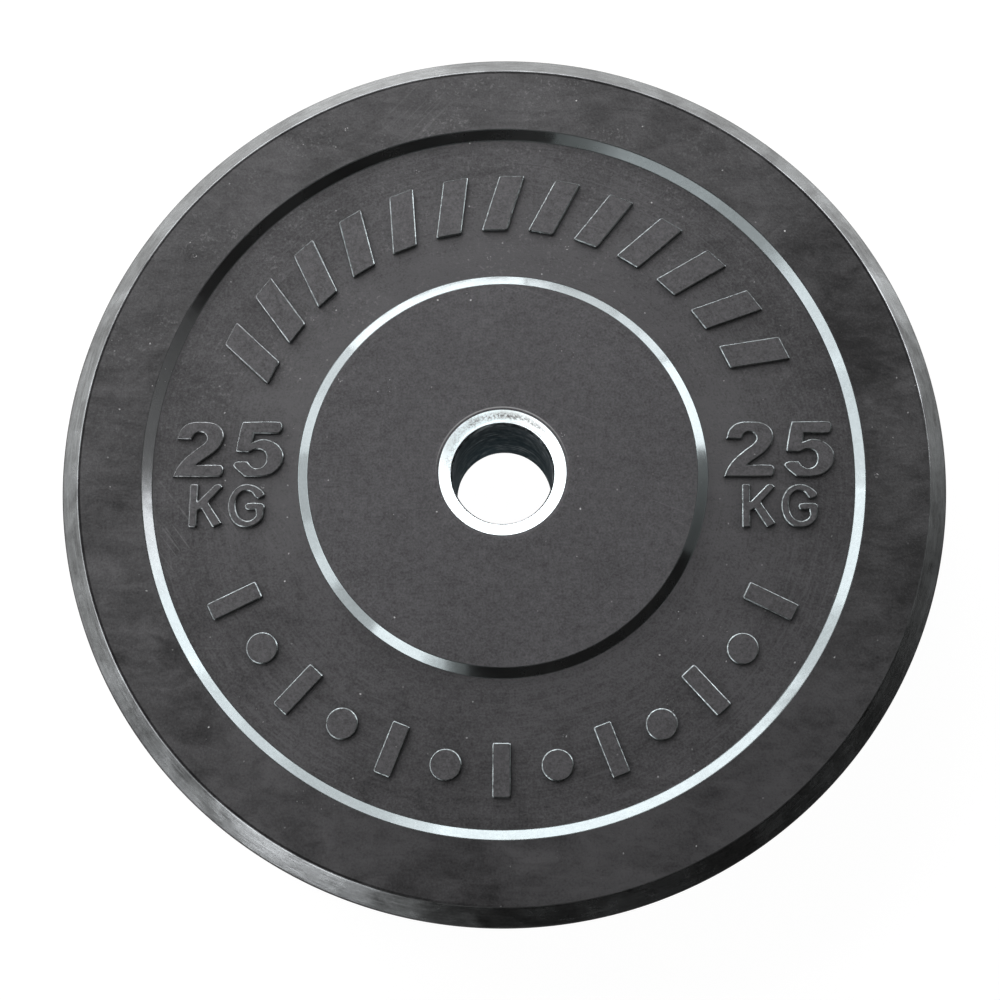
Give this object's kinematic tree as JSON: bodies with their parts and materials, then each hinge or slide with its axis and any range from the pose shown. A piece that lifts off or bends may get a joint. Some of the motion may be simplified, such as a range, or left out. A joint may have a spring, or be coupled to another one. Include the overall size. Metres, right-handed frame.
{
  "type": "bumper plate",
  "caption": "Round rubber weight plate with a bevelled rim, a shallow recess, a raised centre boss and a steel sleeve through its bore.",
  "frame": {"origin": "middle of the rear face, on the axis of the bore, with the plate lying flat", "axes": "+Z along the bore axis towards the front face, +Y up on the front face, where the leaning bars are, +X to the right seen from the front"},
  "size_m": [0.45, 0.45, 0.08],
  "materials": {
    "rubber": "matte moulded face, smooth glossy bevel and recess walls",
    "plated_steel": "bright zinc plate with fine turning marks",
    "mill_steel": "hot rolled, grey",
    "weld_metal": "as welded"
  },
  "bodies": {
    "root": {"rubber_disc": "rubber", "hub_sleeve": "plated_steel", "anchor_disc": "mill_steel", "front_weld": "weld_metal", "rear_weld": "weld_metal"}
  },
  "joints": []
}
